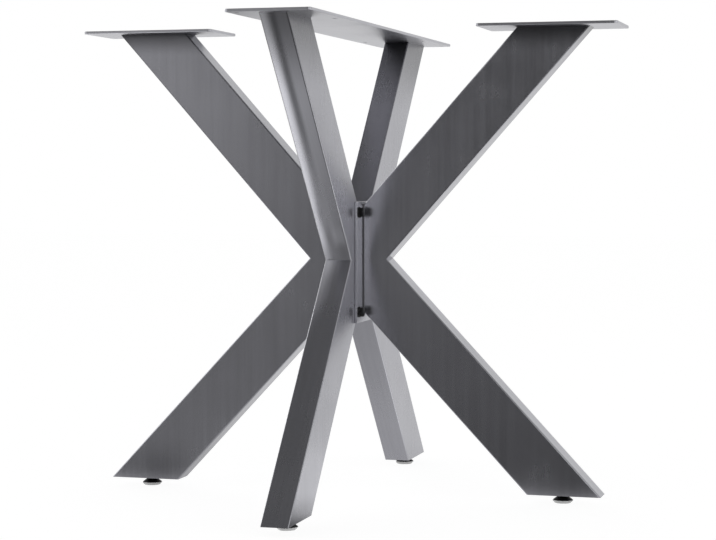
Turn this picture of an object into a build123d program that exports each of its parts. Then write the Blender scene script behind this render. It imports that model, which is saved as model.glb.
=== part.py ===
from build123d import *
from dataclasses import dataclass
from math import hypot
import os

# Overall sizes
base_height = 700.0  # floor to the top of the plates
foot_height = 12.0  # floor to the closed lower end of a leg

# Rectangular tube of the legs
tube_width = 80.0
tube_depth = 40.0
tube_wall = 2.0
tube_corner = 2.0  # outer rounding along the tube
cut_spare = 1.0  # how far a tube's bore is cut past its ends

# Reach of a leg's outer edge from the centre line, at the waist, under the plate and at the foot
cross_waist = 70.0
cross_top = 376.0
cross_foot = 378.0
side_waist = 60.0
side_top = 363.0
side_foot = 382.0
waist_lift = 2.0  # waist above the middle of a leg

# Top plates
plate_thick = 4.0
plate_corner = 5.0
plate_edge_break = 0.5  # chamfer along the rims of plates and flanges
centre_plate_length = 800.0
centre_plate_width = 120.0
side_plate_length = 206.0
side_plate_width = 116.0
side_plate_shift = 4.0  # from the middle of the tube towards the centre
screw_hole = 6.5
screw_edge_side = 12.0  # hole centre to the long edge of the centre plate
screw_edge_end = 17.0  # hole centre to the short edge of the centre plate
screw_pitch = 133.0  # between the two holes at each end of a row

# Upright flanges that carry the side legs
flange_thick = 4.0
flange_side_margin = 5.0  # beyond the washers
flange_end_margin = 16.0  # beyond the bolts
flange_drop = 4.0  # flange centre below the waist
seam_gap = 1.8  # weld between the flange and the end of a side leg
seam_inset = 0.8  # how far the weld lies below the tube's faces
seam_throat = 2.6  # width of the weld's ring

# M8 joint bolts
bolt_wall_gap = 1.35  # bolt hole to the sloping wall inside the front and back legs
bolt_rise = 148.0  # between the upper and the lower pair
bolt_diameter = 8.0
bolt_hole = 9.0
bolt_tail = 3.0  # thread beyond the nut
head_across_flats = 13.0
head_height = 5.3
head_chamfer = 0.6
nut_height = 6.5
washer_diameter = 16.0
washer_bore = 8.4
washer_thick = 1.6
thread_gap = 0.05  # radial play of a thread drawn as a plain cylinder

# Levelling feet
foot_shift = 4.0  # from the middle of the tube towards the centre
end_plate_thick = 6.0
stud_diameter = 8.0
stud_above_plate = 14.0  # spare thread inside the leg
stud_seat = 5.0  # stud inside the pad
stud_tip_chamfer = 0.8
pad_diameter = 31.0
pad_sole_diameter = 25.0
pad_rim_height = 4.2
pad_neck_diameter = 10.0
pad_play = 0.8  # pad neck to end plate with the foot fully screwed in
pad_rim_land = 0.8  # upright band at the widest place

# Heights and distances that follow from the sizes above
tube_top = base_height - plate_thick
tube_bottom = foot_height
waist_height = (tube_top + tube_bottom) / 2 + waist_lift
flange_face = tube_depth / 2 + flange_thick
side_cut = flange_face + seam_gap
flange_centre = waist_height - flange_drop
pad_height = foot_height - pad_play

os.makedirs("parts", exist_ok=True)


@dataclass
class Limb:
    """One tube of a leg in the leg's own upright plane: reach from the centre line, then height."""

    waist: float
    reach: float
    end: float
    cut: float

    def slope(self) -> float:
        """Reach gained per millimetre of height, signed."""
        return (self.reach - self.waist) / (self.end - waist_height)

    def across(self, size: float) -> float:
        """Horizontal length of a size measured square to the tube."""
        return size * hypot(1.0, self.slope())

    def outer(self, height: float, depth: float) -> tuple:
        """Point at a height on the line that lies a depth below the tube's outer face."""
        return (self.waist + self.slope() * (height - waist_height) - self.across(depth), height)

    def outline(self, skin: float, spare: float) -> list:
        """Tube outline a skin inside its two faces, running a spare length past its three cuts."""
        past = spare if self.end > waist_height else -spare
        near = waist_height - past
        far = self.end + past
        cut = self.cut - spare
        return [
            self.outer(near, skin),
            self.outer(far, skin),
            self.outer(far, tube_width - skin),
            (cut, self.inner_height(cut, skin)),
            (cut, near),
        ]

    def inner_height(self, reach: float, skin: float) -> float:
        """Height at which the line a skin above the tube's inner face has a given reach."""
        return waist_height + (reach - self.waist + self.across(tube_width - skin)) / self.slope()

    def end_middle(self) -> float:
        """Reach of the middle of the tube's far end."""
        return self.reach - self.across(tube_width) / 2


# Each leg lies in an upright plane whose first axis points outwards and whose second points up
front_plane = Plane(origin=(0, 0, 0), x_dir=(0, -1, 0), z_dir=(-1, 0, 0))
back_plane = Plane(origin=(0, 0, 0), x_dir=(0, 1, 0), z_dir=(1, 0, 0))
left_plane = Plane(origin=(0, 0, 0), x_dir=(-1, 0, 0), z_dir=(0, 1, 0))
right_plane = Plane(origin=(0, 0, 0), x_dir=(1, 0, 0), z_dir=(0, -1, 0))

# Upright planes across the base whose normals point to the left and to the right
left_face = Plane(origin=(0, 0, 0), x_dir=(0, -1, 0), z_dir=(-1, 0, 0))
right_face = Plane(origin=(0, 0, 0), x_dir=(0, 1, 0), z_dir=(1, 0, 0))

cross_upper = Limb(cross_waist, cross_top, tube_top, 0.0)
cross_lower = Limb(cross_waist, cross_foot, tube_bottom, 0.0)
side_upper = Limb(side_waist, side_top, tube_top, side_cut)
side_lower = Limb(side_waist, side_foot, tube_bottom, side_cut)

leg_planes = {"front": front_plane, "back": back_plane, "left": left_plane, "right": right_plane}
leg_limbs = {
    "front": (cross_upper, cross_lower),
    "back": (cross_upper, cross_lower),
    "left": (side_upper, side_lower),
    "right": (side_upper, side_lower),
}

# The bolts pass through the front and back legs just clear of the sloping walls at the lower pair
bolt_low = flange_centre - bolt_rise / 2
bolt_reach = cross_lower.outer(bolt_low, tube_width - tube_wall)[0] + bolt_wall_gap + bolt_hole / 2
bolt_places = [(reach, bolt_low + rise) for reach in (-bolt_reach, bolt_reach) for rise in (0, bolt_rise)]
flange_width = 2 * (bolt_reach + washer_diameter / 2 + flange_side_margin)
flange_height = bolt_rise + 2 * flange_end_margin


def rims(part: Part, axis: Axis) -> list:
    """Outer edges of a plate's two broad faces."""
    return [edge for face in part.faces().filter_by(axis) for edge in face.outer_wire().edges()]


def runs_along_tube(edge: Edge) -> bool:
    """True for the four sloping edges of a tube."""
    return 0.1 < abs(edge.tangent_at(0.5).Z) < 0.9


# Leg tubes: hollow, rounded along their length, cut level at the waist, the plate and the foot
for leg, plane in leg_planes.items():
    for level, limb in zip(("upper", "lower"), leg_limbs[leg]):
        with BuildPart() as tube:
            with BuildSketch(plane):
                with BuildLine():
                    Polyline(*limb.outline(0.0, 0.0), close=True)
                make_face()
            extrude(amount=tube_depth / 2, both=True)
            fillet(tube.edges().filter_by(runs_along_tube), radius=tube_corner)
            with BuildSketch(plane):
                with BuildLine():
                    Polyline(*limb.outline(tube_wall, cut_spare), close=True)
                make_face()
            extrude(amount=tube_depth / 2 - tube_wall, both=True, mode=Mode.SUBTRACT)
            if limb.cut == 0.0:
                # the joint bolts pass through the front and the back leg
                with BuildSketch(Plane.YZ):
                    with Locations(*bolt_places):
                        Circle(bolt_hole / 2)
                extrude(amount=tube_depth, both=True, mode=Mode.SUBTRACT)
        tube.part.label = f"{leg}_{level}_tube"
        export_step(tube.part, f"parts/{leg}_{level}_tube.step")

# Long top plate over the front and the back leg, with two screw holes at each end of its long edges
screw_x = centre_plate_width / 2 - screw_edge_side
screw_y_outer = centre_plate_length / 2 - screw_edge_end
screw_y_inner = screw_y_outer - screw_pitch
with BuildPart() as centre_top_plate:
    with BuildSketch(Plane.XY.offset(tube_top)):
        RectangleRounded(centre_plate_width, centre_plate_length, plate_corner)
        with GridLocations(2 * screw_x, 2 * screw_y_outer, 2, 2):
            Circle(screw_hole / 2, mode=Mode.SUBTRACT)
        with GridLocations(2 * screw_x, 2 * screw_y_inner, 2, 2):
            Circle(screw_hole / 2, mode=Mode.SUBTRACT)
    extrude(amount=plate_thick)
    chamfer(rims(centre_top_plate.part, Axis.Z), length=plate_edge_break)
centre_top_plate.part.label = "centre_top_plate"
export_step(centre_top_plate.part, "parts/centre_top_plate.step")

# Half frames at the two sides: top plate, flange and the weld that joins the flange to the leg
seam_top = side_upper.inner_height(side_cut, 0.0)
seam_bottom = side_lower.inner_height(side_cut, 0.0)
for side, face_plane in (("left", left_face), ("right", right_face)):
    plate_middle = leg_planes[side].from_local_coords(Vector(side_upper.end_middle() - side_plate_shift, 0, 0))
    with BuildPart() as side_top_plate:
        with BuildSketch(Plane.XY.offset(tube_top)):
            with Locations((plate_middle.X, plate_middle.Y)):
                RectangleRounded(side_plate_length, side_plate_width, plate_corner)
        extrude(amount=plate_thick)
        chamfer(rims(side_top_plate.part, Axis.Z), length=plate_edge_break)
    side_top_plate.part.label = f"{side}_top_plate"
    export_step(side_top_plate.part, f"parts/{side}_top_plate.step")

    with BuildPart() as flange:
        with BuildSketch(face_plane.offset(tube_depth / 2)):
            with Locations((0, flange_centre)):
                Rectangle(flange_width, flange_height)
            with Locations(*bolt_places):
                Circle(bolt_hole / 2, mode=Mode.SUBTRACT)
        extrude(amount=flange_thick)
        chamfer(rims(flange.part, Axis.X), length=plate_edge_break)
    flange.part.label = f"{side}_flange"
    export_step(flange.part, f"parts/{side}_flange.step")

    with BuildPart() as seam_weld:
        with BuildSketch(face_plane.offset(flange_face)):
            with Locations((0, (seam_top + seam_bottom) / 2)):
                Rectangle(tube_depth - 2 * seam_inset, seam_top - seam_bottom - 2 * seam_inset)
            offset(amount=-seam_throat, mode=Mode.SUBTRACT)
        extrude(amount=seam_gap)
    seam_weld.part.label = f"{side}_seam_weld"
    export_step(seam_weld.part, f"parts/{side}_seam_weld.step")

# Joint bolts run from right to left through flange, leg and flange, with a washer under head and nut
head_seat = flange_face + washer_thick
nut_face = -head_seat - nut_height
with BuildPart() as joint_bolts:
    with BuildSketch(Plane.YZ.offset(head_seat)):
        with Locations(*bolt_places):
            RegularPolygon(head_across_flats / 2, 6, major_radius=False)
    extrude(amount=head_height)
    chamfer(joint_bolts.faces().sort_by(Axis.X)[-len(bolt_places):].edges(), length=head_chamfer)
    with BuildSketch(Plane.YZ.offset(nut_face - bolt_tail)):
        with Locations(*bolt_places):
            Circle(bolt_diameter / 2)
    extrude(amount=head_seat - nut_face + bolt_tail)
joint_bolts.part.label = "joint_bolts"
export_step(joint_bolts.part, "parts/joint_bolts.step")

with BuildPart() as joint_washers:
    for washer_plane in (Plane.YZ.offset(flange_face), Plane.YZ.offset(-head_seat)):
        with BuildSketch(washer_plane):
            with Locations(*bolt_places):
                Circle(washer_diameter / 2)
                Circle(washer_bore / 2, mode=Mode.SUBTRACT)
        extrude(amount=washer_thick)
joint_washers.part.label = "joint_washers"
export_step(joint_washers.part, "parts/joint_washers.step")

with BuildPart() as joint_nuts:
    with BuildSketch(Plane.YZ.offset(nut_face)):
        with Locations(*bolt_places):
            RegularPolygon(head_across_flats / 2, 6, major_radius=False)
            Circle(bolt_diameter / 2 + thread_gap, mode=Mode.SUBTRACT)
    extrude(amount=nut_height)
joint_nuts.part.label = "joint_nuts"
export_step(joint_nuts.part, "parts/joint_nuts.step")

# Lower end of each leg: end plate with a threaded hole, and a levelling foot on a threaded stud
for leg, plane in leg_planes.items():
    limb = leg_limbs[leg][1]
    foot = plane.from_local_coords(Vector(limb.end_middle() - foot_shift, 0, 0))
    foot_axis = Axis((foot.X, foot.Y, 0), (0, 0, 1))
    foot_plane = Plane(origin=(foot.X, foot.Y, 0), x_dir=(1, 0, 0), z_dir=(0, -1, 0))
    end_plate_top = tube_bottom + end_plate_thick
    with BuildPart() as end_plate:
        with BuildSketch(plane):
            with BuildLine():
                Polyline(
                    limb.outer(tube_bottom, tube_wall),
                    limb.outer(end_plate_top, tube_wall),
                    limb.outer(end_plate_top, tube_width - tube_wall),
                    limb.outer(tube_bottom, tube_width - tube_wall),
                    close=True,
                )
            make_face()
        extrude(amount=tube_depth / 2 - tube_wall, both=True)
        with BuildSketch(Plane.XY.offset(tube_bottom)):
            with Locations((foot.X, foot.Y)):
                Circle(stud_diameter / 2 + thread_gap)
        extrude(amount=end_plate_thick, mode=Mode.SUBTRACT)
    end_plate.part.label = f"{leg}_end_plate"
    export_step(end_plate.part, f"parts/{leg}_end_plate.step")

    with BuildPart() as pad:
        with BuildSketch(foot_plane):
            with BuildLine():
                sole = Line((0, 0), (pad_sole_diameter / 2, 0))
                flare = Line(sole @ 1, (pad_diameter / 2, pad_rim_height - pad_rim_land))
                rim = Line(flare @ 1, (pad_diameter / 2, pad_rim_height))
                cone = Line(rim @ 1, (pad_neck_diameter / 2, pad_height))
                top = Line(cone @ 1, (0, pad_height))
                Line(top @ 1, sole @ 0)
            make_face()
        revolve(axis=foot_axis)
        with BuildSketch(Plane.XY.offset(pad_height)):
            with Locations((foot.X, foot.Y)):
                Circle(stud_diameter / 2 + thread_gap)
        extrude(amount=-stud_seat, mode=Mode.SUBTRACT)
    pad.part.label = f"{leg}_pad"
    export_step(pad.part, f"parts/{leg}_pad.step")

    with BuildPart() as stud:
        with BuildSketch(Plane.XY.offset(pad_height - stud_seat)):
            with Locations((foot.X, foot.Y)):
                Circle(stud_diameter / 2)
        extrude(amount=end_plate_top + stud_above_plate - pad_height + stud_seat)
        chamfer(stud.faces().sort_by(Axis.Z)[-1].edges(), length=stud_tip_chamfer)
    stud.part.label = f"{leg}_stud"
    export_step(stud.part, f"parts/{leg}_stud.step")
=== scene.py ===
"""Studio scene of a table base: brushed steel chevron legs, bolted at the waist, on levelling feet."""

import logging
import math
from collections.abc import Callable, Iterable
from dataclasses import dataclass, field, replace
from enum import Enum

import bmesh
import bpy
from mathutils import Matrix, Vector


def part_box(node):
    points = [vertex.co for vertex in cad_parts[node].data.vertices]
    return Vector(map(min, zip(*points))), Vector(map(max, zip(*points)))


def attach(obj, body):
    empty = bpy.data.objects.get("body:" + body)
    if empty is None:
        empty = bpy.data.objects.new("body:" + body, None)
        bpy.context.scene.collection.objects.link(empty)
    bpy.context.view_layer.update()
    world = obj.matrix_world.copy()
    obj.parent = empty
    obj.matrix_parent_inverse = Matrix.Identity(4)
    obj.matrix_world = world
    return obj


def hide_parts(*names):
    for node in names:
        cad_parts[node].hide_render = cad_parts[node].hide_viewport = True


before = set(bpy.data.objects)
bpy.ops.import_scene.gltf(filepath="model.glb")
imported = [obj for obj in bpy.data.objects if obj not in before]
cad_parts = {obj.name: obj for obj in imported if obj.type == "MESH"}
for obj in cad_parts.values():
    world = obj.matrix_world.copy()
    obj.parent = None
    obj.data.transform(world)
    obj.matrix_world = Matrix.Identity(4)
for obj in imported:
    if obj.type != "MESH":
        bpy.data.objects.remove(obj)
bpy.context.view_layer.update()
LOG = logging.getLogger("table_base")

Colour = tuple[float, float, float]
Triple = tuple[float, float, float]
Span = tuple[float, float]
Feed = bpy.types.NodeSocket | float | int | tuple

MM = 0.001
FRAME_BODY = "frame"


class Leg(Enum):
    """The four legs, each with the direction in which it points outwards."""

    FRONT = (0.0, -1.0)
    BACK = (0.0, 1.0)
    LEFT = (-1.0, 0.0)
    RIGHT = (1.0, 0.0)

    @property
    def word(self) -> str:
        """The leg's name as the nodes spell it."""
        return self.name.lower()

    @property
    def outward(self) -> Vector:
        """Level unit vector from the middle of the base along the leg."""
        return Vector((self.value[0], self.value[1], 0.0))

    @property
    def sideways(self) -> Vector:
        """Level unit vector across the leg's broad faces."""
        return Vector((abs(self.value[1]), abs(self.value[0]), 0.0))

    @property
    def waist_reach(self) -> float:
        """Reach of the leg's outer edge at the waist."""
        return 70 * MM if self in (Leg.FRONT, Leg.BACK) else 60 * MM

    @property
    def dull_reach(self) -> float:
        """How far the painted shade reaches down from the plate."""
        return {Leg.FRONT: 110 * MM, Leg.BACK: 125 * MM}.get(self, 36 * MM)


class Level(Enum):
    """The two tubes of a leg."""

    UPPER = "upper"
    LOWER = "lower"


class Graph:
    """Short calls for building one node tree."""

    def __init__(self, tree: bpy.types.NodeTree) -> None:
        """Keep the tree that the calls add to.

        Args:
            tree: The shader or geometry tree to build.
        """
        self.tree = tree

    def node(self, kind: str, **settings: object) -> bpy.types.Node:
        """Add a node.

        Args:
            kind: Blender's name of the node type.
            **settings: Properties of the node to set.

        Returns:
            The new node.
        """
        made = self.tree.nodes.new(kind)
        for name, value in settings.items():
            setattr(made, name, value)
        return made

    def feed(self, socket: bpy.types.NodeSocket, value: Feed) -> None:
        """Link an output to a socket, or set the socket's own value.

        Args:
            socket: The input socket.
            value: Another node's output, or a plain value.
        """
        if isinstance(value, bpy.types.NodeSocket):
            self.tree.links.new(value, socket)
        else:
            socket.default_value = value

    def math(self, operation: str, *values: Feed) -> bpy.types.NodeSocket:
        """Add a math node.

        Args:
            operation: Name of the operation.
            *values: Its inputs in order.

        Returns:
            The result socket.
        """
        made = self.node("ShaderNodeMath", operation=operation)
        for socket, value in zip(made.inputs, values):
            self.feed(socket, value)
        return made.outputs[0]

    def vector(self, operation: str, *values: Feed) -> bpy.types.NodeSocket:
        """Add a vector math node.

        Args:
            operation: Name of the operation.
            *values: Its inputs in order.

        Returns:
            The vector result, or the number for a dot product or a length.
        """
        made = self.node("ShaderNodeVectorMath", operation=operation)
        for socket, value in zip(made.inputs, values):
            self.feed(socket, value)
        return made.outputs["Value" if operation in ("DOT_PRODUCT", "LENGTH") else "Vector"]

    def scaled(self, arrow: Feed, amount: Feed) -> bpy.types.NodeSocket:
        """A vector times a number.

        Args:
            arrow: The vector.
            amount: The number.

        Returns:
            The scaled vector.
        """
        made = self.node("ShaderNodeVectorMath", operation="SCALE")
        self.feed(made.inputs[0], arrow)
        self.feed(made.inputs["Scale"], amount)
        return made.outputs["Vector"]

    def ramp(
        self, value: Feed, low: float, high: float, start: float = 0.0, end: float = 1.0
    ) -> bpy.types.NodeSocket:
        """Ease a number from one range to another.

        Args:
            value: The number.
            low: Where the change begins.
            high: Where the change ends.
            start: Result at the beginning.
            end: Result at the end.

        Returns:
            The eased number.
        """
        made = self.node("ShaderNodeMapRange", interpolation_type="SMOOTHSTEP")
        limits = {"From Min": low, "From Max": high, "To Min": start, "To Max": end}
        for name, item in {"Value": value, **limits}.items():
            self.feed(made.inputs[name], item)
        return made.outputs["Result"]

    def slope(self, value: Feed, low: float, high: float) -> bpy.types.NodeSocket:
        """A number's place between two limits, from zero to one in a straight line.

        Args:
            value: The number.
            low: Where the line begins.
            high: Where the line ends.

        Returns:
            The place.
        """
        made = self.node("ShaderNodeMapRange")
        for name, item in (("Value", value), ("From Min", low), ("From Max", high)):
            self.feed(made.inputs[name], item)
        return made.outputs["Result"]

    def noise(self, place: Feed, scale: float, detail: float, rough: float = 0.5) -> bpy.types.NodeSocket:
        """Add a noise texture.

        Args:
            place: Coordinates to read.
            scale: Size of the pattern.
            detail: Number of finer layers.
            rough: Weight of the finer layers.

        Returns:
            The noise value, around one half.
        """
        made = self.node("ShaderNodeTexNoise")
        self.feed(made.inputs["Vector"], place)
        made.inputs["Scale"].default_value = scale
        made.inputs["Detail"].default_value = detail
        made.inputs["Roughness"].default_value = rough
        return made.outputs[0]

    def bump(self, height: Feed, strength: float, distance: float) -> bpy.types.Node:
        """Add a bump node.

        Args:
            height: The relief.
            strength: Share of the relief that shows.
            distance: Height of the full relief.

        Returns:
            The node.
        """
        made = self.node("ShaderNodeBump")
        made.inputs["Strength"].default_value = strength
        made.inputs["Distance"].default_value = distance
        self.feed(made.inputs["Height"], height)
        return made

    def tint(self, amount: Feed, first: Feed, second: Feed) -> bpy.types.NodeSocket:
        """Mix two colours.

        Args:
            amount: Share of the second colour.
            first: Colour at zero.
            second: Colour at one.

        Returns:
            The mixed colour.
        """
        made = self.node("ShaderNodeMix", data_type="RGBA")
        self.feed(made.inputs[0], amount)
        self.feed(made.inputs[6], first)
        self.feed(made.inputs[7], second)
        return made.outputs[2]

    def surface(
        self, shader: bpy.types.Node, colour: Feed, rough: Feed, bump: bpy.types.Node, metal: float
    ) -> None:
        """Feed a surface shader.

        Args:
            shader: The Principled shader.
            colour: Its base colour.
            rough: Its roughness.
            bump: The bump node that gives its normal.
            metal: Its metallic value.
        """
        self.feed(shader.inputs["Base Color"], colour)
        self.feed(shader.inputs["Roughness"], rough)
        self.feed(shader.inputs["Normal"], bump.outputs["Normal"])
        shader.inputs["Metallic"].default_value = metal

    def group(self, tree: bpy.types.NodeTree, **values: Feed) -> bpy.types.Node:
        """Place a shader group.

        Args:
            tree: The group's tree.
            **values: Values for its inputs, with underscores for spaces.

        Returns:
            The group node.
        """
        made = self.node("ShaderNodeGroup", node_tree=tree)
        for name, value in values.items():
            self.feed(made.inputs[name.replace("_", " ")], value)
        return made


def opaque(colour: Colour) -> tuple[float, float, float, float]:
    """The colour with full alpha."""
    return (*colour, 1.0)


class SharedEffects:
    """Shader groups that several finishes use, each made once."""

    BAND_SCALE = 0.22
    CLOUDS_PER_METRE = 7.0
    EDGE_PLAIN_SHARE = 0.35
    SMUDGE_RANGE = (0.45, 0.75)

    def __init__(self) -> None:
        """Build the groups."""
        self.grain = self._make("Brushed grain", self._fill_grain)
        self.edges = self._make("Polished edges", self._fill_edges)
        self.soiling = self._make("Handling marks", self._fill_soiling)
        self.weld_zone = self._make("Dull weld zone", self._fill_weld_zone)

    @staticmethod
    def _make(name: str, fill: Callable[[Graph], None]) -> bpy.types.NodeTree:
        """Make one group.

        Args:
            name: Name of the group.
            fill: Function that adds its sockets and nodes.

        Returns:
            The finished tree.
        """
        tree = bpy.data.node_groups.new(name, "ShaderNodeTree")
        fill(Graph(tree))
        return tree

    @staticmethod
    def _sockets(
        graph: Graph, inputs: dict[str, str], outputs: Iterable[str]
    ) -> tuple[bpy.types.NodeOutputs, bpy.types.NodeInputs]:
        """Give a group its named sockets.

        Args:
            graph: Calls for the group's tree.
            inputs: Socket types by name.
            outputs: Names of the number outputs.

        Returns:
            The sockets that bring values in, and those that put results out.
        """
        for name, kind in inputs.items():
            graph.tree.interface.new_socket(name, in_out="INPUT", socket_type=kind)
        for name in outputs:
            graph.tree.interface.new_socket(name, in_out="OUTPUT", socket_type="NodeSocketFloat")
        return graph.node("NodeGroupInput").outputs, graph.node("NodeGroupOutput").inputs

    def _fill_grain(self, graph: Graph) -> None:
        """Streaks left by the brushing belt: hair-fine lines, wider bands and soft clouds.

        Args:
            graph: Calls for the group's tree.
        """
        get, put = self._sockets(
            graph,
            {"Position": "NodeSocketVector", "Lines per metre": "NodeSocketVector"},
            ("Hair", "Band", "Cloud"),
        )
        lines = graph.vector("MULTIPLY", get["Position"], get["Lines per metre"])
        bands = graph.scaled(lines, self.BAND_SCALE)
        graph.feed(put["Hair"], graph.noise(lines, 1.0, 2.0))
        graph.feed(put["Band"], graph.noise(bands, 1.0, 2.0))
        graph.feed(put["Cloud"], graph.noise(get["Position"], self.CLOUDS_PER_METRE, 2.0))

    def _fill_edges(self, graph: Graph) -> None:
        """Painted highlight: a bright line along a tube's long corners.

        Args:
            graph: Calls for the group's tree.
        """
        get, put = self._sockets(
            graph,
            {
                "Position": "NodeSocketVector",
                "Across": "NodeSocketVector",
                "Across offset": "NodeSocketFloat",
                "Sideways": "NodeSocketVector",
                "Half width": "NodeSocketFloat",
                "Half depth": "NodeSocketFloat",
                "Reach": "NodeSocketFloat",
            },
            ("Mask",),
        )
        across = graph.vector("DOT_PRODUCT", get["Position"], get["Across"])
        across = graph.math("ADD", across, get["Across offset"])
        aside = graph.vector("DOT_PRODUCT", get["Position"], get["Sideways"])
        from_broad = graph.math("SUBTRACT", get["Half width"], graph.math("ABSOLUTE", across))
        from_narrow = graph.math("SUBTRACT", get["Half depth"], graph.math("ABSOLUTE", aside))
        away = graph.math("DIVIDE", graph.math("MAXIMUM", from_broad, from_narrow), get["Reach"])
        graph.feed(put["Mask"], graph.ramp(away, self.EDGE_PLAIN_SHARE, 1.0, 1.0, 0.0))

    def _fill_soiling(self, graph: Graph) -> None:
        """Faint smudges from hands and packing.

        Args:
            graph: Calls for the group's tree.
        """
        get, put = self._sockets(
            graph,
            {"Position": "NodeSocketVector", "Patches per metre": "NodeSocketFloat"},
            ("Mask",),
        )
        patches = graph.scaled(get["Position"], get["Patches per metre"])
        graph.feed(put["Mask"], graph.ramp(graph.noise(patches, 1.0, 4.0, 0.6), *self.SMUDGE_RANGE))

    def _fill_weld_zone(self, graph: Graph) -> None:
        """Painted shade close under a plate, darkest right under it.

        Args:
            graph: Calls for the group's tree.
        """
        get, put = self._sockets(
            graph,
            {"Position": "NodeSocketVector", "Plate height": "NodeSocketFloat", "Reach": "NodeSocketFloat"},
            ("Mask",),
        )
        height = graph.vector("DOT_PRODUCT", get["Position"], (0.0, 0.0, 1.0))
        below = graph.math("SUBTRACT", get["Plate height"], height)
        share = graph.math("DIVIDE", below, get["Reach"])
        graph.feed(put["Mask"], graph.ramp(share, 0.0, 1.0, 1.0, 0.0))


@dataclass(frozen=True)
class TubeShape:
    """Where one tube of a leg lies, for patterns that follow its corners."""

    leg: Leg
    level: Level
    width: float = 80 * MM
    depth: float = 40 * MM

    @property
    def node(self) -> str:
        """Name of the tube's node."""
        return f"{self.leg.word}_{self.level.value}_tube"

    @property
    def waist(self) -> float:
        """Height of the mitre where the leg's two tubes meet."""
        low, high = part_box(self.node)
        return low.z if self.level is Level.UPPER else high.z

    def across(self) -> tuple[Vector, float]:
        """Direction square to the tube's narrow faces, and its offset.

        Returns:
            The unit vector that points out of the outer face, and the number to add to a position's dot
            product with it so that the tube's middle line reads zero.
        """
        low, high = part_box(self.node)
        upper = self.level is Level.UPPER
        far = high.z if upper else low.z
        reach = max(abs(low.dot(self.leg.outward)), abs(high.dot(self.leg.outward)))
        along = self.leg.outward * (reach - self.leg.waist_reach) + Vector((0.0, 0.0, far - self.waist))
        rise = Vector((0.0, 0.0, -1.0 if upper else 1.0))
        normal = (self.leg.outward * abs(along.z) + rise * abs(reach - self.leg.waist_reach)).normalized()
        corner = self.leg.outward * self.leg.waist_reach + Vector((0.0, 0.0, self.waist))
        return normal, self.width / 2 - corner.dot(normal)


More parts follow.
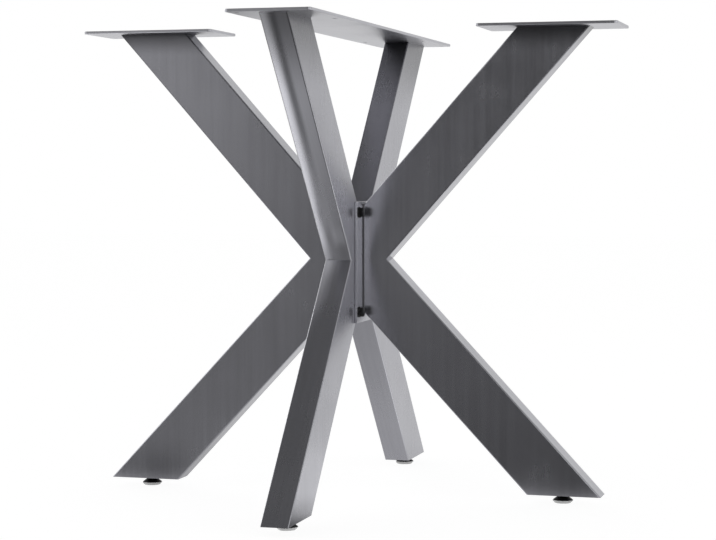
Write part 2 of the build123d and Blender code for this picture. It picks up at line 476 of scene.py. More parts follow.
@dataclass(frozen=True)
class BrushedSteel:
    """Steel brushed in one direction and sealed with a thin clear lacquer."""

    colour: Colour = (0.42, 0.42, 0.456)
    dark: Colour = (0.375, 0.375, 0.408)
    # Painted shade: very dark colour for the upper tube ends under the plates, where the plates keep the
    # light off.
    dull: Colour = (0.15, 0.15, 0.162)
    # Painted highlight: brighter colour along the tubes' long corners.
    edge: Colour = (0.52, 0.52, 0.555)
    metal: float = 0.86
    roughness: float = 0.23
    roughness_spread: float = 0.08
    lines: Triple = (430.0, 430.0, 9.0)
    band_share: float = 0.6
    cloud_share: float = 0.35
    shade_range: Span = (0.36, 0.64)
    smudges: float = 11.0
    smudge_roughness: float = 0.05
    bump: float = 0.06
    bump_height: float = 0.2 * MM
    edge_reach: float = 1.6 * MM
    crown: dict[Level, Triple] = field(
        default_factory=lambda: {Level.UPPER: (-0.53, 0.0, -0.18), Level.LOWER: (-0.68, 0.0, 0.0)}
    )
    crown_band: Span = (-8 * MM, 20 * MM)
    crown_fade: Span = (200 * MM, 345 * MM)
    bend: Triple = (0.0, 0.0, 0.57)
    fold: Triple = (0.12, 0.0, -0.46)
    bend_reach: float = 75 * MM
    bend_blur: float = 0.14
    broad_facing: Span = (0.5, 0.8)
    outer_facing: Span = (0.3, 0.6)

    def make(self, name: str, effects: SharedEffects, shape: TubeShape | None = None) -> bpy.types.Material:
        """Build the material.

        Args:
            name: Name of the material.
            effects: The shared groups.
            shape: The tube whose corners get painted highlights, or nothing for a plate.

        Returns:
            The material.
        """
        material, graph, shader, position = new_material(name)
        lines = self.lines if shape is None else self._lines_along(graph, shape)
        grain = graph.group(effects.grain, Position=position, Lines_per_metre=lines)
        soiling = graph.group(effects.soiling, Position=position, Patches_per_metre=self.smudges)
        hair = graph.math("MULTIPLY", grain.outputs["Hair"], 1.0 - self.band_share)
        streak = graph.math("MULTIPLY_ADD", grain.outputs["Band"], self.band_share, hair)
        fine = graph.math("MULTIPLY", streak, 1.0 - self.cloud_share)
        shade = graph.math("MULTIPLY_ADD", grain.outputs["Cloud"], self.cloud_share, fine)
        colour = graph.tint(graph.ramp(shade, *self.shade_range), opaque(self.dark), opaque(self.colour))
        smoothest = self.roughness - self.roughness_spread / 2
        rough = graph.math("MULTIPLY_ADD", streak, self.roughness_spread, smoothest)
        rough = graph.math("MULTIPLY_ADD", soiling.outputs["Mask"], self.smudge_roughness, rough)
        bump = graph.bump(streak, self.bump, self.bump_height)
        if shape is not None:
            colour = self._worked(graph, effects, position, shape, colour)
        if shape is not None and shape.leg is Leg.FRONT:
            leaning, near = self._crown(graph, position, shape)
            graph.feed(bump.inputs["Normal"], leaning)
            rough = graph.math("MULTIPLY_ADD", near, self.bend_blur, rough)
        graph.surface(shader, colour, rough, bump, self.metal)
        return material

    def _worked(
        self,
        graph: Graph,
        effects: SharedEffects,
        position: bpy.types.NodeSocket,
        shape: TubeShape,
        colour: bpy.types.NodeSocket,
    ) -> bpy.types.NodeSocket:
        """Paint highlights on a tube's long corners, and paint shade on its upper end close to the plate.

        Args:
            graph: Calls for the material's tree.
            effects: The shared groups.
            position: Object coordinates.
            shape: The tube.
            colour: The plain steel's colour.

        Returns:
            The colour of the worked tube.
        """
        normal, offset = shape.across()
        # Painted highlights: lighter colour along the tube's long corners.
        edges = graph.group(
            effects.edges,
            Position=position,
            Across=tuple(normal),
            Across_offset=offset,
            Sideways=tuple(shape.leg.sideways),
            Half_width=shape.width / 2,
            Half_depth=shape.depth / 2,
            Reach=self.edge_reach,
        )
        colour = graph.tint(edges.outputs["Mask"], colour, opaque(self.edge))
        if shape.level is Level.LOWER:
            return colour
        # Painted shade: the upper end darkens towards the plate above it.
        painted_shade = graph.group(
            effects.weld_zone,
            Position=position,
            Plate_height=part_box(shape.node)[1].z,
            Reach=shape.leg.dull_reach,
        )
        return graph.tint(painted_shade.outputs["Mask"], colour, opaque(self.dull))

    def _lines_along(self, graph: Graph, shape: TubeShape) -> bpy.types.NodeSocket:
        """Upright streaks on a tube's broad faces, and streaks along the tube on its narrow ones.

        Args:
            graph: Calls for the material's tree.
            shape: The tube.

        Returns:
            Streaks per metre in each direction.
        """
        facing = graph.node("ShaderNodeNewGeometry").outputs["Normal"]
        broad = graph.math("ABSOLUTE", graph.vector("DOT_PRODUCT", facing, tuple(shape.leg.sideways)))
        outward = Vector([abs(part) * count for part, count in zip(shape.leg.outward, self.lines)])
        others = tuple(Vector(self.lines) - outward)
        return graph.vector("MULTIPLY_ADD", tuple(outward), graph.ramp(broad, *self.broad_facing), others)

    def _crown(
        self, graph: Graph, position: bpy.types.NodeSocket, shape: TubeShape
    ) -> tuple[bpy.types.NodeSocket, bpy.types.NodeSocket]:
        """Lean the outer face's normal to its left edge and turn it at the bend, as a crowned face would.

        Args:
            graph: Calls for the material's tree.
            position: Object coordinates.
            shape: The tube.

        Returns:
            The leaning normal, and how near the bend is, from zero to one.
        """
        facing = graph.node("ShaderNodeNewGeometry").outputs["Normal"]
        outer = graph.ramp(graph.vector("DOT_PRODUCT", facing, tuple(shape.leg.outward)), *self.outer_facing)
        left = graph.vector("DOT_PRODUCT", position, (-1.0, 0.0, 0.0))
        height = graph.vector("DOT_PRODUCT", position, (0.0, 0.0, 1.0))
        faded = graph.ramp(height, *self.crown_fade)
        crowned = graph.math("MULTIPLY", graph.slope(left, *self.crown_band), faded)
        lean = graph.scaled(self.crown[shape.level], graph.math("MULTIPLY", crowned, outer))
        from_waist = graph.math("ABSOLUTE", graph.math("SUBTRACT", height, shape.waist))
        near = graph.ramp(from_waist, 0.0, self.bend_reach, 1.0, 0.0)
        bent = graph.math("MULTIPLY", near, outer)
        if shape.level is Level.UPPER:
            turn = graph.scaled(self.bend, bent)
        else:
            folded = graph.math("MULTIPLY", near, crowned)
            turn = graph.scaled(self.fold, graph.math("MULTIPLY", folded, bent))
        leaning = graph.vector("ADD", facing, graph.vector("ADD", lean, turn))
        return graph.vector("NORMALIZE", leaning), near


def new_material(name: str) -> tuple[bpy.types.Material, Graph, bpy.types.Node, bpy.types.NodeSocket]:
    """Start a material.

    Args:
        name: Name of the material.

    Returns:
        The material, calls for its tree, its surface shader, and object coordinates.
    """
    material = bpy.data.materials.new(name)
    material.use_nodes = True
    graph = Graph(material.node_tree)
    shader = material.node_tree.nodes["Principled BSDF"]
    return material, graph, shader, graph.node("ShaderNodeTexCoord").outputs["Object"]


@dataclass(frozen=True)
class BlackOxide:
    """Blackened steel of the bolts, washers and nuts."""

    colour: Colour = (0.012, 0.012, 0.013)
    worn: Colour = (0.030, 0.030, 0.031)
    metal: float = 0.35
    smudges: float = 160.0
    lines: Triple = (2200.0, 2200.0, 2200.0)
    roughness: float = 0.30
    roughness_spread: float = 0.25
    bump: float = 0.15
    bump_height: float = 0.05 * MM

    def make(self, name: str, effects: SharedEffects) -> bpy.types.Material:
        """Build the material.

        Args:
            name: Name of the material.
            effects: The shared groups.

        Returns:
            The material.
        """
        material, graph, shader, position = new_material(name)
        soiling = graph.group(effects.soiling, Position=position, Patches_per_metre=self.smudges)
        grain = graph.group(effects.grain, Position=position, Lines_per_metre=self.lines)
        colour = graph.tint(soiling.outputs["Mask"], opaque(self.colour), opaque(self.worn))
        rough = graph.math("MULTIPLY_ADD", grain.outputs["Hair"], self.roughness_spread, self.roughness)
        bump = graph.bump(grain.outputs["Hair"], self.bump, self.bump_height)
        graph.surface(shader, colour, rough, bump, self.metal)
        return material


@dataclass(frozen=True)
class DarkWeld:
    """Recessed weld, left as it cooled, with ripples along the seam."""

    colour: Colour = (0.20, 0.20, 0.21)
    heat: Colour = (0.26, 0.25, 0.25)
    metal: float = 0.6
    smudges: float = 90.0
    ripples: float = 2300.0
    roughness: float = 0.5
    roughness_spread: float = 0.2
    bump: float = 0.3
    bump_height: float = 0.2 * MM

    def make(self, name: str, effects: SharedEffects) -> bpy.types.Material:
        """Build the material.

        Args:
            name: Name of the material.
            effects: The shared groups.

        Returns:
            The material.
        """
        material, graph, shader, position = new_material(name)
        soiling = graph.group(effects.soiling, Position=position, Patches_per_metre=self.smudges)
        ripple = graph.math("SINE", graph.vector("DOT_PRODUCT", position, (0.0, 0.0, self.ripples)))
        colour = graph.tint(soiling.outputs["Mask"], opaque(self.colour), opaque(self.heat))
        rough = graph.math("MULTIPLY_ADD", soiling.outputs["Mask"], self.roughness_spread, self.roughness)
        bump = graph.bump(ripple, self.bump, self.bump_height)
        graph.surface(shader, colour, rough, bump, self.metal)
        return material


@dataclass(frozen=True)
class TurnedNickel:
    """Bright nickel over turned steel, with faint rings round the axis."""

    colour: Colour = (0.66, 0.655, 0.64)
    dull: Colour = (0.50, 0.495, 0.485)
    # Painted reflection: black on the cone stands in for the dark leg underside that the cone mirrors.
    black: Colour = (0.016, 0.016, 0.017)
    black_above: float = 1.0
    black_edge: float = 0.3 * MM
    metal: float = 0.4
    smudges: float = 120.0
    rings: float = 5200.0
    roughness: float = 0.12
    roughness_spread: float = 0.14
    bump: float = 0.08
    bump_height: float = 0.05 * MM

    def make(self, name: str, effects: SharedEffects, axis: Vector) -> bpy.types.Material:
        """Build the material.

        Args:
            name: Name of the material.
            effects: The shared groups.
            axis: A point on the upright axis of the rings.

        Returns:
            The material.
        """
        material, graph, shader, position = new_material(name)
        centred = graph.node("ShaderNodeMapping")
        graph.feed(centred.inputs["Vector"], position)
        centred.inputs["Location"].default_value = (-axis.x, -axis.y, 0.0)
        level = graph.vector("MULTIPLY", centred.outputs["Vector"], (1.0, 1.0, 0.0))
        distance = graph.vector("LENGTH", level)
        ring = graph.math("SINE", graph.math("MULTIPLY", distance, self.rings))
        soiling = graph.group(effects.soiling, Position=position, Patches_per_metre=self.smudges)
        bright = graph.tint(soiling.outputs["Mask"], opaque(self.colour), opaque(self.dull))
        height = graph.vector("DOT_PRODUCT", position, (0.0, 0.0, 1.0))
        # Painted reflection: the cone above black_above turns black.
        painted_dark_reflection = graph.ramp(height, self.black_above, self.black_above + self.black_edge)
        colour = graph.tint(painted_dark_reflection, bright, opaque(self.black))
        rough = graph.math("MULTIPLY_ADD", soiling.outputs["Mask"], self.roughness_spread, self.roughness)
        bump = graph.bump(ring, self.bump, self.bump_height)
        graph.surface(shader, colour, rough, bump, self.metal)
        return material


class MeshMaker:
    """Builds one closed mesh out of turned and hexagonal forms."""

    HEX_SIDES = 72
    HEX_FACE = 0.96
    HEX_CHAMFER = math.radians(30)
    THREAD_SIDES = 48
    STEPS_PER_TURN = 10
    TIP_TURNS = 0.6

    def __init__(self) -> None:
        """Start an empty mesh."""
        self.bm = bmesh.new()

    def _rings(self, rings: list[list[Vector]]) -> None:
        """Skin a run of point rings and close both ends.

        Args:
            rings: Rings with equal numbers of points.
        """
        made = [[self.bm.verts.new(point) for point in ring] for ring in rings]
        count = len(made[0])
        for first, second in zip(made, made[1:]):
            for n in range(count):
                after = (n + 1) % count
                self.bm.faces.new((first[n], first[after], second[after], second[n]))
        self.bm.faces.new(list(reversed(made[0])))
        self.bm.faces.new(made[-1])

    def turned(self, profile: Iterable[tuple[float, float]], sides: int, place: Matrix) -> None:
        """Add a turned form.

        Args:
            profile: Radius and height pairs from one end to the other.
            sides: Number of sides round the axis.
            place: Where the form's own +Z axis and origin go.
        """
        angles = [2 * math.pi * n / sides for n in range(sides)]
        self._rings(
            [[place @ Vector((r * math.cos(a), r * math.sin(a), h)) for a in angles] for r, h in profile]
        )

    def hexagon(self, across_flats: float, height: float, ends: tuple[bool, bool], place: Matrix) -> None:
        """Add a hexagonal head or nut with rounded-off corners.

        Args:
            across_flats: Spanner size.
            height: Height along the axis.
            ends: Whether the lower and the upper corners are turned off.
            place: Where the form's own +Z axis and origin go.
        """
        inner = across_flats / 2 * self.HEX_FACE
        drop = math.tan(self.HEX_CHAMFER)
        flat, upright_low, upright_high = [], [], []
        for n in range(self.HEX_SIDES):
            angle = 2 * math.pi * n / self.HEX_SIDES
            to_flat = (angle + math.pi / 6) % (math.pi / 3) - math.pi / 6
            radius = across_flats / 2 / math.cos(to_flat)
            cut = max(0.0, radius - inner) * drop
            direction = Vector((math.cos(angle), math.sin(angle), 0.0))
            flat.append(direction * inner)
            upright_low.append(direction * radius + Vector((0.0, 0.0, cut if ends[0] else 0.0)))
            upright_high.append(direction * radius + Vector((0.0, 0.0, height - (cut if ends[1] else 0.0))))
        top = [point + Vector((0.0, 0.0, height)) for point in flat]
        self._rings([[place @ point for point in ring] for ring in (flat, upright_low, upright_high, top)])

    def thread(self, radius: float, depth: float, pitch: float, length: float, place: Matrix) -> None:
        """Add a threaded end with a turned-off tip.

        Args:
            radius: Outer radius of the thread.
            depth: Depth of the thread.
            pitch: Rise per turn.
            length: Length along the axis.
            place: Where the form's own +Z axis and origin go.
        """
        steps = max(8, round(length / pitch * self.STEPS_PER_TURN))
        rings = []
        for step in range(steps + 1):
            height = length * step / steps
            tip = max(0.0, height - (length - pitch * self.TIP_TURNS))
            ring = []
            for n in range(self.THREAD_SIDES):
                turn = n / self.THREAD_SIDES
                phase = (height / pitch - turn) % 1.0
                groove = abs(2 * phase - 1)
                angle = 2 * math.pi * turn
                reach = min(radius - depth * groove, radius - tip)
                ring.append(place @ Vector((reach * math.cos(angle), reach * math.sin(angle), height)))
            rings.append(ring)
        self._rings(rings)

    def finish(self, name: str, smooth_below: float = 35.0) -> bpy.types.Object:
        """Turn the work into an object at the origin.

        Args:
            name: Name of the piece.
            smooth_below: Largest angle, in degrees, that is shaded smooth.

        Returns:
            The new object, linked to the scene.
        """
        bmesh.ops.recalc_face_normals(self.bm, faces=self.bm.faces)
        mesh = bpy.data.meshes.new(name)
        self.bm.to_mesh(mesh)
        self.bm.free()
        mesh.shade_smooth()
        mesh.set_sharp_from_angle(angle=math.radians(smooth_below))
        piece = bpy.data.objects.new(name, mesh)
        bpy.context.scene.collection.objects.link(piece)
        return piece


def dress(piece: bpy.types.Object, material: bpy.types.Material) -> None:
    """Give a piece one material.

    Args:
        piece: The object.
        material: Its finish.
    """
    piece.data.materials.clear()
    piece.data.materials.append(material)
    LOG.info("%s wears %s", piece.name, material.name)


@dataclass
class LegTubes:
    """The eight tubes of the four legs, and the plates that close their lower ends."""

    effects: SharedEffects
    finish: BrushedSteel = BrushedSteel()
    cross_finish: BrushedSteel = BrushedSteel(roughness=0.26)
    end_finish: BrushedSteel = BrushedSteel(
        colour=(0.30, 0.30, 0.31), dark=(0.24, 0.24, 0.25), lines=(700.0, 700.0, 700.0)
    )

    def dress(self) -> None:
        """Give each tube brushed steel whose painted corner highlights follow it."""
        for leg in Leg:
            for level in Level:
                shape = TubeShape(leg, level)
                finish = self.cross_finish if leg in (Leg.FRONT, Leg.BACK) else self.finish
                steel = finish.make(f"{leg.word} {level.value} steel", self.effects, shape)
                dress(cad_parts[shape.node], steel)
        closing = self.end_finish.make("end plate steel", self.effects)
        for leg in Leg:
            dress(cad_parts[f"{leg.word}_end_plate"], closing)


@dataclass
class TopPlates:
    """The long plate over the front and back legs and the two short ones at the sides."""

    effects: SharedEffects
    finish: BrushedSteel = BrushedSteel(
        colour=(0.50, 0.50, 0.536), dark=(0.455, 0.455, 0.488), metal=0.95, roughness=0.32
    )
    centre_lines: Triple = (700.0, 28.0, 700.0)
    side_lines: Triple = (28.0, 700.0, 700.0)

    def dress(self) -> None:
        """Give the plates steel brushed along their length."""
        steel = replace(self.finish, lines=self.centre_lines).make("centre plate steel", self.effects)
        dress(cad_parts["centre_top_plate"], steel)
        steel = replace(self.finish, lines=self.side_lines).make("side plate steel", self.effects)
        for side in ("left", "right"):
            dress(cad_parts[f"{side}_top_plate"], steel)


@dataclass
class WaistJoint:
    """Flanges, welds and the four bolt sets that hold the side legs to the front and back legs."""

    effects: SharedEffects
    flange_steel: BrushedSteel = BrushedSteel()
    across_flats: float = 13 * MM
    head_height: float = 5.3 * MM
    nut_height: float = 6.5 * MM
    washer_radius: float = 8 * MM
    washer_thick: float = 1.6 * MM
    washer_round: float = 0.35 * MM
    washer_sides: int = 64
    washer_middle: float = 0.6
    thread_radius: float = 4 * MM
    thread_depth: float = 0.7 * MM
    thread_pitch: float = 1.25 * MM

    def dress(self) -> None:
        """Give the flanges and welds their finishes."""
        steel = self.flange_steel.make("flange steel", self.effects)
        weld = DarkWeld().make("dark seam weld", self.effects)
        for side in ("left", "right"):
            dress(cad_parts[f"{side}_flange"], steel)
            dress(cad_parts[f"{side}_seam_weld"], weld)

    def build(self) -> None:
        """Make the bolt sets in place of the plain ones."""
        low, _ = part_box("joint_bolts")
        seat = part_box("right_flange")[1].x
        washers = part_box("joint_washers")
        spread = washers[1].y - washers[0].y - 2 * self.washer_radius
        rise = washers[1].z - washers[0].z - 2 * self.washer_radius
        middle = (washers[0].z + washers[1].z) / 2
        steel = BlackOxide().make("black bolt steel", self.effects)
        sizes = {"Spread": spread, "Rise": rise, "Middle height": middle}
        piece = self._repeat(self._bolt_set(seat, low.x), sizes, steel)
        dress(piece, steel)
        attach(piece, FRAME_BODY)
        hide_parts("joint_bolts", "joint_washers", "joint_nuts")

    def _bolt_set(self, seat: float, tail: float) -> bpy.types.Object:
        """Make one bolt with its head to the right, two washers and a nut.

        Args:
            seat: Distance of the flange's outer face from the middle.
            tail: Where the bolt's thread ends, to the left.

        Returns:
            A template object on the bolt's own axis.
        """
        maker = MeshMaker()
        to_right = Matrix.Rotation(math.pi / 2, 4, "Y")
        to_left = Matrix.Rotation(-math.pi / 2, 4, "Y")
        washer = self._washer_profile()
        head = seat + self.washer_thick
        nut = head + self.nut_height
        maker.turned(washer, self.washer_sides, Matrix.Translation((seat, 0, 0)) @ to_right)
        maker.turned(washer, self.washer_sides, Matrix.Translation((-seat, 0, 0)) @ to_left)
        place = Matrix.Translation((head, 0, 0)) @ to_right
        maker.hexagon(self.across_flats, self.head_height, (False, True), place)
        place = Matrix.Translation((-head, 0, 0)) @ to_left
        maker.hexagon(self.across_flats, self.nut_height, (True, True), place)
        place = Matrix.Translation((-nut, 0, 0)) @ to_left
        maker.thread(self.thread_radius, self.thread_depth, self.thread_pitch, -tail - nut, place)
        return maker.finish("bolt_set_template")

    def _washer_profile(self) -> list[tuple[float, float]]:
        """Radius and height pairs of a washer with one rounded rim, closed across its middle."""
        radius, thick, soft = self.washer_radius, self.washer_thick, self.washer_round
        rim = [
            (radius - soft + soft * math.cos(a), thick - soft + soft * math.sin(a))
            for a in (math.radians(d) for d in range(0, 91, 30))
        ]
        middle = radius * self.washer_middle
        return [(middle, 0.0), (radius, 0.0), *rim, (middle, thick)]

    def _repeat(
        self, template: bpy.types.Object, sizes: dict[str, float], steel: bpy.types.Material
    ) -> bpy.types.Object:
        """Set the template at the four bolt holes with a geometry node tree.

        Args:
            template: The bolt set.
            sizes: Spread from front to back, rise from lower to upper bolts, and the middle's height.
            steel: Finish of the bolts.

        Returns:
            One plain mesh object with all four sets.
        """
        tree = bpy.data.node_groups.new("Waist bolt pattern", "GeometryNodeTree")
        kinds = {"Bolt set": "NodeSocketObject", "Finish": "NodeSocketMaterial"}
        for name in (*kinds, *sizes):
            kind = kinds.get(name, "NodeSocketFloat")
            tree.interface.new_socket(name, in_out="INPUT", socket_type=kind)
        tree.interface.new_socket("Geometry", in_out="OUTPUT", socket_type="NodeSocketGeometry")
        graph = Graph(tree)
        source = graph.node("NodeGroupInput")
        grid = graph.node("GeometryNodeMeshGrid")
        graph.feed(grid.inputs["Size X"], source.outputs["Spread"])
        graph.feed(grid.inputs["Size Y"], source.outputs["Rise"])
        grid.inputs["Vertices X"].default_value = 2
        grid.inputs["Vertices Y"].default_value = 2
        stand = graph.node("GeometryNodeTransform")
        graph.feed(stand.inputs["Geometry"], grid.outputs["Mesh"])
        stand.inputs["Rotation"].default_value = (math.pi / 2, 0.0, math.pi / 2)
        lift = graph.node("ShaderNodeCombineXYZ")
        graph.feed(lift.inputs["Z"], source.outputs["Middle height"])
        graph.feed(stand.inputs["Translation"], lift.outputs["Vector"])
        bolt = graph.node("GeometryNodeObjectInfo")
        graph.feed(bolt.inputs["Object"], source.outputs["Bolt set"])
        copies = graph.node("GeometryNodeInstanceOnPoints")
        graph.feed(copies.inputs["Points"], stand.outputs["Geometry"])
        graph.feed(copies.inputs["Instance"], bolt.outputs["Geometry"])
        real = graph.node("GeometryNodeRealizeInstances")
        graph.feed(real.inputs["Geometry"], copies.outputs["Instances"])
        finish = graph.node("GeometryNodeSetMaterial")
        graph.feed(finish.inputs["Geometry"], real.outputs["Geometry"])
        graph.feed(finish.inputs["Material"], source.outputs["Finish"])
        graph.feed(graph.node("NodeGroupOutput").inputs["Geometry"], finish.outputs["Geometry"])
        piece = realised("waist_bolt_sets", tree, {"Bolt set": template, "Finish": steel, **sizes})
        bpy.data.objects.remove(template)
        return piece


def realised(name: str, tree: bpy.types.NodeTree, values: dict[str, object]) -> bpy.types.Object:
    """Run a geometry node tree once and keep the result as a plain mesh.

    Args:
        name: Name of the piece.
        tree: The geometry node tree.
        values: Values of the tree's inputs by name.

    Returns:
        The new object, with no modifier.
    """
    holder = bpy.data.objects.new(f"{name}_holder", bpy.data.meshes.new(f"{name}_holder"))
    bpy.context.scene.collection.objects.link(holder)
    modifier = holder.modifiers.new("pattern", "NODES")
    modifier.node_group = tree
    for item in tree.interface.items_tree:
        if item.in_out == "INPUT" and item.name in values:
            modifier[item.identifier] = values[item.name]
    evaluated = holder.evaluated_get(bpy.context.evaluated_depsgraph_get())
    mesh = bpy.data.meshes.new_from_object(evaluated)
    mesh.name = name
    bpy.data.objects.remove(holder)
    piece = bpy.data.objects.new(name, mesh)
    bpy.context.scene.collection.objects.link(piece)
    return piece


@dataclass
class LevellingFeet:
    """Under each leg a pad, with a bright rim below a cone painted black as a painted reflection of the dark
    leg above, on a threaded stud.
    """

    effects: SharedEffects
    nickel: TurnedNickel = TurnedNickel(
        colour=(0.80, 0.80, 0.80), dull=(0.66, 0.66, 0.66), black_above=4.3 * MM
    )
    zinc: TurnedNickel = TurnedNickel(colour=(0.52, 0.52, 0.53), dull=(0.40, 0.40, 0.40), roughness=0.28)
    sole_radius: float = 12.5 * MM
    rim_height: float = 3.8 * MM
    rim_round: float = 0.45 * MM
    neck_radius: float = 5.0 * MM
    cone_bulge: float = 0.3 * MM
    cone_steps: int = 14
    sole_edge: Span = (0.3 * MM, 0.2 * MM)
    sole_middle: float = 0.5
    neck_step: float = 0.4 * MM
    thread_depth: float = 0.7 * MM
    thread_pitch: float = 1.25 * MM
    sides: int = 96
    smooth_below: float = 50.0

    def build(self) -> None:
        """Make each foot in place of its plain solids."""
        for leg in Leg:
            self._pad(leg)
            self._stud(leg)

    def _axis(self, node: str) -> Vector:
        """Point on the floor under the middle of a node."""
        low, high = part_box(node)
        return Vector(((low.x + high.x) / 2, (low.y + high.y) / 2, 0.0))

    def _pad(self, leg: Leg) -> None:
        """Make one pad.

        Args:
            leg: The leg it stands under.
        """
        node = f"{leg.word}_pad"
        low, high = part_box(node)
        axis = self._axis(node)
        maker = MeshMaker()
        maker.turned(self._pad_profile((high.x - low.x) / 2, high.z), self.sides, Matrix.Translation(axis))
        pad = maker.finish(f"{leg.word}_nickel_pad", self.smooth_below)
        dress(pad, self.nickel.make(f"{leg.word} pad nickel", self.effects, axis))
        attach(pad, f"{leg.word}_foot")
        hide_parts(node)

    def _pad_profile(self, radius: float, height: float) -> list[tuple[float, float]]:
        """Outline of a pad from the sole's edge over the rim and the cone to the neck.

        Args:
            radius: Widest radius.
            height: Height of the neck's top.

        Returns:
            Radius and height pairs.
        """
        soft = self.rim_round
        rim = [
            (radius - soft + soft * math.cos(a), self.rim_height + soft * math.sin(a))
            for a in (math.radians(d) for d in range(-50, 60, 15))
        ]
        start, end = Vector(rim[-1]), Vector((self.neck_radius, height))
        out = Vector((end.y - start.y, start.x - end.x)).normalized()
        cone = []
        for n in range(1, self.cone_steps + 1):
            share = n / self.cone_steps
            place = start.lerp(end, share) + out * self.cone_bulge * 4 * share * (1 - share)
            cone.append((place.x, place.y))
        inset, lift = self.sole_edge
        sole = self.sole_radius
        foot = [(sole * self.sole_middle, 0.0), (sole - inset, 0.0), (sole, lift)]
        return [*foot, *rim, *cone, (self.neck_radius - self.neck_step, height)]

    def _stud(self, leg: Leg) -> None:
        """Make one threaded stud.

        Args:
            leg: The leg it screws into.
        """
        node = f"{leg.word}_stud"
        low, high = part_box(node)
        axis = self._axis(node)
        place = Matrix.Translation(axis + Vector((0.0, 0.0, low.z)))
        maker = MeshMaker()
        maker.thread((high.x - low.x) / 2, self.thread_depth, self.thread_pitch, high.z - low.z, place)
        stud = maker.finish(f"{leg.word}_zinc_stud")
        dress(stud, self.zinc.make(f"{leg.word} stud zinc", self.effects, axis))
        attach(stud, f"{leg.word}_foot")
        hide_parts(node)


@dataclass(frozen=True)
class SoftPanel:
    """One soft studio panel, aimed at the middle of the base."""

    name: str
    bearing: float
    height: float
    distance: float
    width: float
    tall: float
    brightness: float
    aim_height: float = 0.36

    def build(self) -> None:
        """Set the panel up; a brightness of one is as bright as white paper."""
        light = bpy.data.lights.new(self.name, "AREA")
        light.shape = "RECTANGLE"
        light.size = self.width
        light.size_y = self.tall
        light.energy = self.brightness * math.pi * self.width * self.tall
        turn = math.radians(self.bearing)
        panel = bpy.data.objects.new(self.name, light)
        panel.location = (self.distance * math.sin(turn), -self.distance * math.cos(turn), self.height)
        aim = Vector((0.0, 0.0, self.aim_height)) - panel.location
        panel.rotation_euler = aim.to_track_quat("-Z", "Y").to_euler()
        panel.visible_camera = False
        bpy.context.scene.collection.objects.link(panel)


@dataclass(frozen=True)
class FloorCard:
    """A soft-edged card on the floor that only the steel mirrors; a negative brightness darkens."""

    name: str
    middle: Span
    reach: Span
    brightness: float
    plain_share: float = 0.45

    def glow(self, graph: Graph, position: bpy.types.NodeSocket) -> bpy.types.NodeSocket:
        """Add the card's share of the floor's light.

        Args:
            graph: Calls for the floor's tree.
            position: Object coordinates of the floor.

        Returns:
            The card's brightness at a place.
        """
        place = graph.node("ShaderNodeMapping", label=self.name, vector_type="TEXTURE")
        graph.feed(place.inputs["Vector"], position)
        place.inputs["Location"].default_value = (*self.middle, 0.0)
        place.inputs["Scale"].default_value = (*self.reach, 1.0)
        away = graph.vector("LENGTH", place.outputs["Vector"])
        return graph.ramp(away, self.plain_share, 1.0, self.brightness, 0.0)


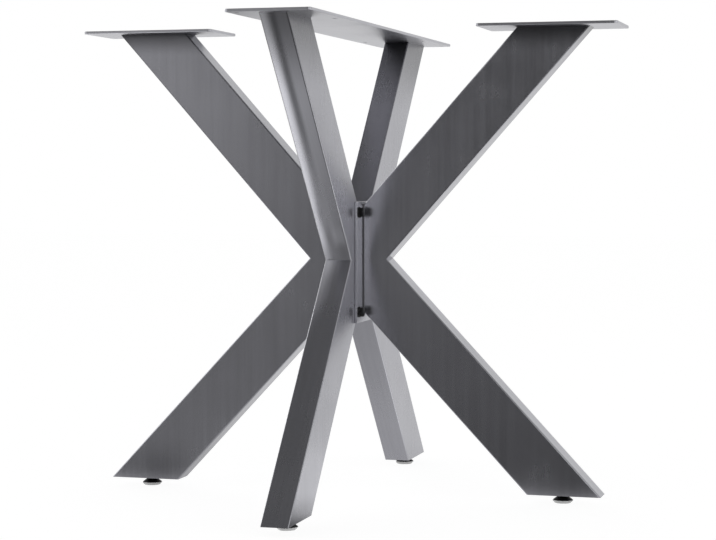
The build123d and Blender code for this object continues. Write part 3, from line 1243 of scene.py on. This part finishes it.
@dataclass
class Studio:
    """White sweep, dim front, soft panels and the camera at the photograph's angle."""

    eye: Triple = (0.82437, -2.8833, 0.48578)
    yaw: float = 0.2752
    pitch: float = -0.0492
    roll: float = -0.0008
    lens: float = 100.17
    sensor: float = 36.0
    floor_reach: float = 12.0
    floor_paper: Colour = (0.2, 0.2, 0.2)
    floor_seen: float = 0.92
    floor_front: float = 0.04
    floor_back: float = 0.84
    sweep_run: Span = (-0.95, 0.7)
    back_light: float = 0.88
    front_light: float = 0.03
    ceiling_light: float = 0.135
    ceiling_rise: Span = (0.3, 0.8)
    dark_left: Span = (-11.0, -26.6)
    dark_right: Span = (8.0, 28.0)
    edge_bearing: float = -138.0
    edge_spread: Span = (12.0, 25.0)
    edge_light: float = 2.4
    panels: tuple[SoftPanel, ...] = field(
        default=(
            SoftPanel("left_panel", -60.0, 1.1, 3.2, 1.5, 2.2, 0.6),
            SoftPanel("right_panel", 70.0, 1.2, 3.2, 1.5, 2.2, 0.6),
            SoftPanel("camera_panel", 21.0, 0.5, 3.5, 1.1, 1.1, 1.6),
        )
    )
    cards: tuple[FloorCard, ...] = field(
        default=(
            FloorCard("left_pale_card", (-0.72, 0.10), (0.46, 0.42), 1.35),
            FloorCard("right_pale_card", (0.62, 0.02), (0.34, 0.30), 0.8),
            FloorCard("middle_pale_card", (0.20, 0.15), (0.20, 0.36), 0.45),
            FloorCard("foot_pale_card", (0.08, -0.10), (0.13, 0.20), 0.42),
            FloorCard("left_dark_card", (-0.42, -0.20), (0.17, 0.19), -0.38),
            FloorCard("right_dark_card", (0.30, -0.42), (0.40, 0.45), -0.5),
            FloorCard("near_pale_card", (-0.72, -1.2), (0.5, 1.0), 0.12),
            FloorCard("far_pale_card", (-1.6, -3.8), (1.1, 2.4), 0.15),
            FloorCard("side_pale_card", (-7.0, -0.5), (5.0, 4.5), 1.0),
            FloorCard("front_pale_card", (-0.21, -0.44), (0.17, 0.27), 0.40),
            FloorCard("front_pad_card", (0.0, -0.32), (0.045, 0.045), 0.75),
        )
    )

    def build(self) -> None:
        """Set up the floor, the surroundings, the lights and the camera."""
        self._floor()
        self._surroundings()
        for panel in self.panels:
            panel.build()
        self._camera()
        bpy.context.scene.view_settings.view_transform = "Standard"

    def _floor(self) -> None:
        """Lay a pale floor that looks white to the camera and keeps a soft shadow."""
        maker = bmesh.new()
        bmesh.ops.create_grid(maker, x_segments=1, y_segments=1, size=self.floor_reach)
        mesh = bpy.data.meshes.new("studio_floor")
        maker.to_mesh(mesh)
        maker.free()
        floor = bpy.data.objects.new("studio_floor", mesh)
        bpy.context.scene.collection.objects.link(floor)
        material = bpy.data.materials.new("pale floor")
        material.use_nodes = True
        graph = Graph(material.node_tree)
        output = material.node_tree.nodes["Material Output"]
        material.node_tree.nodes.remove(material.node_tree.nodes["Principled BSDF"])
        paper = graph.node("ShaderNodeBsdfDiffuse")
        paper.inputs["Color"].default_value = opaque(self.floor_paper)
        glow = graph.node("ShaderNodeEmission")
        rays = graph.node("ShaderNodeLightPath")
        position = graph.node("ShaderNodeTexCoord").outputs["Object"]
        depth = graph.vector("DOT_PRODUCT", position, (0.0, 1.0, 0.0))
        sweep = graph.ramp(depth, *self.sweep_run, self.floor_front, self.floor_back)
        for card in self.cards:
            sweep = graph.math("ADD", sweep, card.glow(graph, position))
        sweep = graph.math("MAXIMUM", sweep, 0.0)
        mirrored = graph.math("MULTIPLY", rays.outputs["Is Glossy Ray"], sweep)
        seen = graph.math("MULTIPLY_ADD", rays.outputs["Is Camera Ray"], self.floor_seen, mirrored)
        graph.feed(glow.inputs["Strength"], seen)
        both = graph.node("ShaderNodeAddShader")
        graph.feed(both.inputs[0], paper.outputs["BSDF"])
        graph.feed(both.inputs[1], glow.outputs["Emission"])
        graph.feed(output.inputs["Surface"], both.outputs["Shader"])
        mesh.materials.append(material)

    def _surroundings(self) -> None:
        """White behind the base, dim in front and above; the camera sees plain white."""
        world = bpy.data.worlds.new("white sweep")
        bpy.context.scene.world = world
        world.use_nodes = True
        graph = Graph(world.node_tree)
        background = world.node_tree.nodes["Background"]
        direction = graph.node("ShaderNodeTexCoord").outputs["Generated"]
        parts = graph.node("ShaderNodeSeparateXYZ")
        graph.feed(parts.inputs["Vector"], direction)
        bearing = graph.math("ARCTAN2", parts.outputs["X"], graph.math("MULTIPLY", parts.outputs["Y"], -1.0))
        sides = [
            graph.ramp(bearing, *(math.radians(d) for d in edge), self.front_light, self.back_light)
            for edge in (self.dark_left, self.dark_right)
        ]
        aside = graph.math("ABSOLUTE", graph.math("SUBTRACT", bearing, math.radians(self.edge_bearing)))
        spread = (math.radians(d) for d in self.edge_spread)
        edge = graph.ramp(aside, *spread, self.edge_light, 0.0)
        behind = graph.math("MAXIMUM", graph.math("MAXIMUM", *sides), edge)
        above = graph.ramp(parts.outputs["Z"], *self.ceiling_rise)
        around = graph.node("ShaderNodeMix", data_type="FLOAT")
        graph.feed(around.inputs[0], above)
        graph.feed(around.inputs[2], behind)
        graph.feed(around.inputs[3], self.ceiling_light)
        rays = graph.node("ShaderNodeLightPath")
        shown = graph.node("ShaderNodeMix", data_type="FLOAT")
        graph.feed(shown.inputs[0], rays.outputs["Is Camera Ray"])
        graph.feed(shown.inputs[2], around.outputs[0])
        shown.inputs[3].default_value = 1.0
        graph.feed(background.inputs["Strength"], shown.outputs[0])
        background.inputs["Color"].default_value = opaque((1.0, 1.0, 1.0))

    def _camera(self) -> None:
        """Put the camera where the photograph was taken from."""
        ahead = Vector(
            (
                -math.sin(self.yaw) * math.cos(self.pitch),
                math.cos(self.yaw) * math.cos(self.pitch),
                math.sin(self.pitch),
            )
        )
        right = Vector((math.cos(self.yaw), math.sin(self.yaw), 0.0))
        up = right.cross(ahead)
        lens = bpy.data.cameras.new("photo_camera")
        lens.lens = self.lens
        lens.sensor_width = self.sensor
        camera = bpy.data.objects.new("photo_camera", lens)
        turn = Matrix((right, up, -ahead)).transposed().to_4x4()
        camera.matrix_world = Matrix.Translation(self.eye) @ turn @ Matrix.Rotation(self.roll, 4, "Z")
        bpy.context.scene.collection.objects.link(camera)
        bpy.context.scene.camera = camera


def main() -> None:
    """Build and dress the table base, then light and frame it."""
    logging.basicConfig(level=logging.INFO, format="%(name)s: %(message)s")
    effects = SharedEffects()
    LegTubes(effects).dress()
    TopPlates(effects).dress()
    joint = WaistJoint(effects)
    joint.dress()
    joint.build()
    LevellingFeet(effects).build()
    Studio().build()


if __name__ == "__main__":
    main()
